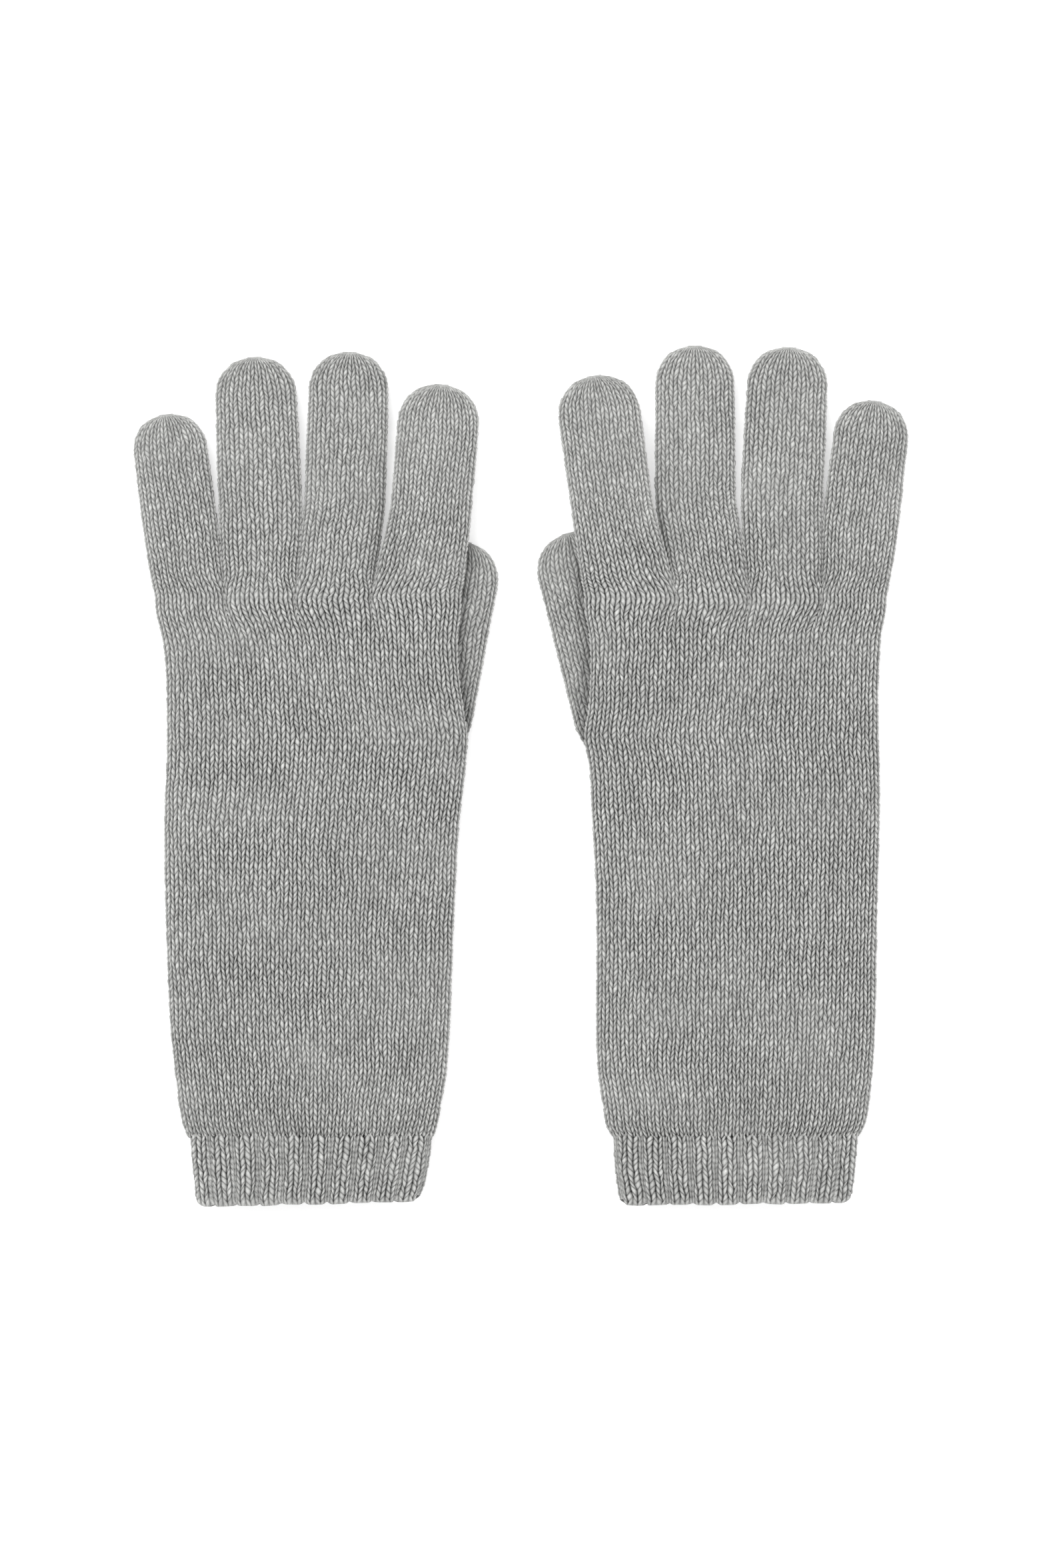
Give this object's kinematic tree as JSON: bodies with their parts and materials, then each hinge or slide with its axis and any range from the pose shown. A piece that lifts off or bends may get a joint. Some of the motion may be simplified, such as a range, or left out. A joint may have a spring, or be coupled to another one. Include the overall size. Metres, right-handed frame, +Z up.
{
  "type": "pair of knitted gloves",
  "caption": "Pair of light grey melange knitted gloves lying flat, backs up, with rib cuffs and thumbs tucked under the palms.",
  "frame": {"origin": "centre of the pair's bounding box, on the table", "axes": "+X to the right glove, +Y towards the fingertips, +Z up from the table, out of the backs of the hands"},
  "size_m": [0.2497, 0.278, 0.0144],
  "materials": {
    "plain_knit": "soft, fuzzy plain knit",
    "rib_knit": "soft, fuzzy rib knit"
  },
  "bodies": {
    "left_sleeve": {"left_rib_cuff": "rib_knit", "left_sleeve": "plain_knit"},
    "left_hand": {"left_hand": "plain_knit"},
    "left_little_base": {"left_little_base": "plain_knit"},
    "left_little_mid": {"left_little_mid": "plain_knit"},
    "left_little_tip": {"left_little_tip": "plain_knit"},
    "left_ring_base": {"left_ring_base": "plain_knit"},
    "left_ring_mid": {"left_ring_mid": "plain_knit"},
    "left_ring_tip": {"left_ring_tip": "plain_knit"},
    "left_middle_base": {"left_middle_base": "plain_knit"},
    "left_middle_mid": {"left_middle_mid": "plain_knit"},
    "left_middle_tip": {"left_middle_tip": "plain_knit"},
    "left_index_base": {"left_index_base": "plain_knit"},
    "left_index_mid": {"left_index_mid": "plain_knit"},
    "left_index_tip": {"left_index_tip": "plain_knit"},
    "left_thumb_base": {"left_thumb_base": "plain_knit"},
    "left_thumb_tip": {"left_thumb_tip": "plain_knit"},
    "right_sleeve": {"right_rib_cuff": "rib_knit", "right_sleeve": "plain_knit"},
    "right_hand": {"right_hand": "plain_knit"},
    "right_little_base": {"right_little_base": "plain_knit"},
    "right_little_mid": {"right_little_mid": "plain_knit"},
    "right_little_tip": {"right_little_tip": "plain_knit"},
    "right_ring_base": {"right_ring_base": "plain_knit"},
    "right_ring_mid": {"right_ring_mid": "plain_knit"},
    "right_ring_tip": {"right_ring_tip": "plain_knit"},
    "right_middle_base": {"right_middle_base": "plain_knit"},
    "right_middle_mid": {"right_middle_mid": "plain_knit"},
    "right_middle_tip": {"right_middle_tip": "plain_knit"},
    "right_index_base": {"right_index_base": "plain_knit"},
    "right_index_mid": {"right_index_mid": "plain_knit"},
    "right_index_tip": {"right_index_tip": "plain_knit"},
    "right_thumb_base": {"right_thumb_base": "plain_knit"},
    "right_thumb_tip": {"right_thumb_tip": "plain_knit"}
  },
  "joints": [
    {"name": "left_wrist", "type": "hinge", "parent": "left_sleeve", "child": "left_hand", "pos_m": [-0.0672, -0.026, 0.00717], "axis": [1, 0, 0], "range_deg": [0, 75]},
    {"name": "left_little_knuckle", "type": "hinge", "parent": "left_hand", "child": "left_little_base", "pos_m": [-0.1068, 0.059, 0.0035], "axis": [1, 0, 0], "range_deg": [0, 90]},
    {"name": "left_little_middle_fold", "type": "hinge", "parent": "left_little_base", "child": "left_little_mid", "pos_m": [-0.10942, 0.08037, 0.0035], "axis": [1, 0, 0], "range_deg": [0, 75]},
    {"name": "left_little_tip_fold", "type": "hinge", "parent": "left_little_mid", "child": "left_little_tip", "pos_m": [-0.11175, 0.09827, 0.0035], "axis": [1, 0, 0], "range_deg": [0, 50]},
    {"name": "left_ring_knuckle", "type": "hinge", "parent": "left_hand", "child": "left_ring_base", "pos_m": [-0.0833, 0.059, 0.0035], "axis": [1, 0, 0], "range_deg": [0, 90]},
    {"name": "left_ring_middle_fold", "type": "hinge", "parent": "left_ring_base", "child": "left_ring_mid", "pos_m": [-0.08355, 0.08727, 0.0035], "axis": [1, 0, 0], "range_deg": [0, 75]},
    {"name": "left_ring_tip_fold", "type": "hinge", "parent": "left_ring_mid", "child": "left_ring_tip", "pos_m": [-0.08454, 0.11093, 0.0035], "axis": [1, 0, 0], "range_deg": [0, 50]},
    {"name": "left_middle_knuckle", "type": "hinge", "parent": "left_hand", "child": "left_middle_base", "pos_m": [-0.0593, 0.059, 0.0035], "axis": [1, 0, 0], "range_deg": [0, 90]},
    {"name": "left_middle_middle_fold", "type": "hinge", "parent": "left_middle_base", "child": "left_middle_mid", "pos_m": [-0.05628, 0.08778, 0.0035], "axis": [1, 0, 0], "range_deg": [0, 75]},
    {"name": "left_middle_tip_fold", "type": "hinge", "parent": "left_middle_mid", "child": "left_middle_tip", "pos_m": [-0.05551, 0.11201, 0.0035], "axis": [1, 0, 0], "range_deg": [0, 50]},
    {"name": "left_index_knuckle", "type": "hinge", "parent": "left_hand", "child": "left_index_base", "pos_m": [-0.0326, 0.059, 0.01085], "axis": [1, 0, 0], "range_deg": [0, 90]},
    {"name": "left_index_middle_fold", "type": "hinge", "parent": "left_index_base", "child": "left_index_mid", "pos_m": [-0.02846, 0.08374, 0.01085], "axis": [1, 0, 0], "range_deg": [0, 75]},
    {"name": "left_index_tip_fold", "type": "hinge", "parent": "left_index_mid", "child": "left_index_tip", "pos_m": [-0.02677, 0.10469, 0.01085], "axis": [1, 0, 0], "range_deg": [0, 50]},
    {"name": "left_thumb_root", "type": "hinge", "parent": "left_hand", "child": "left_thumb_base", "pos_m": [-0.0288, 0.016, 0.0035], "axis": [1, 0, 0], "range_deg": [-60, 0]},
    {"name": "left_thumb_fold", "type": "hinge", "parent": "left_thumb_base", "child": "left_thumb_tip", "pos_m": [-0.02341, 0.04478, 0.0035], "axis": [1, 0, 0], "range_deg": [-70, 0]},
    {"name": "right_wrist", "type": "hinge", "parent": "right_sleeve", "child": "right_hand", "pos_m": [0.0701, -0.026, 0.00717], "axis": [1, 0, 0], "range_deg": [0, 75]},
    {"name": "right_little_knuckle", "type": "hinge", "parent": "right_hand", "child": "right_little_base", "pos_m": [0.1097, 0.059, 0.0035], "axis": [1, 0, 0], "range_deg": [0, 90]},
    {"name": "right_little_middle_fold", "type": "hinge", "parent": "right_little_base", "child": "right_little_mid", "pos_m": [0.11051, 0.08207, 0.0035], "axis": [1, 0, 0], "range_deg": [0, 75]},
    {"name": "right_little_tip_fold", "type": "hinge", "parent": "right_little_mid", "child": "right_little_tip", "pos_m": [0.11273, 0.10129, 0.0035], "axis": [1, 0, 0], "range_deg": [0, 50]},
    {"name": "right_ring_knuckle", "type": "hinge", "parent": "right_hand", "child": "right_ring_base", "pos_m": [0.0862, 0.059, 0.0035], "axis": [1, 0, 0], "range_deg": [0, 90]},
    {"name": "right_ring_middle_fold", "type": "hinge", "parent": "right_ring_base", "child": "right_ring_mid", "pos_m": [0.08492, 0.08842, 0.0035], "axis": [1, 0, 0], "range_deg": [0, 75]},
    {"name": "right_ring_tip_fold", "type": "hinge", "parent": "right_ring_mid", "child": "right_ring_tip", "pos_m": [0.08612, 0.11307, 0.0035], "axis": [1, 0, 0], "range_deg": [0, 50]},
    {"name": "right_middle_knuckle", "type": "hinge", "parent": "right_hand", "child": "right_middle_base", "pos_m": [0.0622, 0.059, 0.0035], "axis": [1, 0, 0], "range_deg": [0, 90]},
    {"name": "right_middle_middle_fold", "type": "hinge", "parent": "right_middle_base", "child": "right_middle_mid", "pos_m": [0.05703, 0.08833, 0.0035], "axis": [1, 0, 0], "range_deg": [0, 75]},
    {"name": "right_middle_tip_fold", "type": "hinge", "parent": "right_middle_mid", "child": "right_middle_tip", "pos_m": [0.05694, 0.11329, 0.0035], "axis": [1, 0, 0], "range_deg": [0, 50]},
    {"name": "right_index_knuckle", "type": "hinge", "parent": "right_hand", "child": "right_index_base", "pos_m": [0.0355, 0.059, 0.01085], "axis": [1, 0, 0], "range_deg": [0, 90]},
    {"name": "right_index_middle_fold", "type": "hinge", "parent": "right_index_base", "child": "right_index_mid", "pos_m": [0.03026, 0.08474, 0.01085], "axis": [1, 0, 0], "range_deg": [0, 75]},
    {"name": "right_index_tip_fold", "type": "hinge", "parent": "right_index_mid", "child": "right_index_tip", "pos_m": [0.02735, 0.10656, 0.01085], "axis": [1, 0, 0], "range_deg": [0, 50]},
    {"name": "right_thumb_root", "type": "hinge", "parent": "right_hand", "child": "right_thumb_base", "pos_m": [0.0317, 0.016, 0.0035], "axis": [1, 0, 0], "range_deg": [-60, 0]},
    {"name": "right_thumb_fold", "type": "hinge", "parent": "right_thumb_base", "child": "right_thumb_tip", "pos_m": [0.02421, 0.04604, 0.0035], "axis": [1, 0, 0], "range_deg": [-70, 0]},
    {"name": "right_glove_slide", "type": "slide", "parent": "left_sleeve", "child": "right_sleeve", "axis": [1, 0, 0], "range_m": [0, 0.15]}
  ],
  "couplings": [
    {"joint": "left_little_tip_fold", "follows": "left_little_middle_fold", "ratio": 0.66},
    {"joint": "left_ring_tip_fold", "follows": "left_ring_middle_fold", "ratio": 0.66},
    {"joint": "left_middle_tip_fold", "follows": "left_middle_middle_fold", "ratio": 0.66},
    {"joint": "left_index_tip_fold", "follows": "left_index_middle_fold", "ratio": 0.66},
    {"joint": "right_little_tip_fold", "follows": "right_little_middle_fold", "ratio": 0.66},
    {"joint": "right_ring_tip_fold", "follows": "right_ring_middle_fold", "ratio": 0.66},
    {"joint": "right_middle_tip_fold", "follows": "right_middle_middle_fold", "ratio": 0.66},
    {"joint": "right_index_tip_fold", "follows": "right_index_middle_fold", "ratio": 0.66}
  ]
}
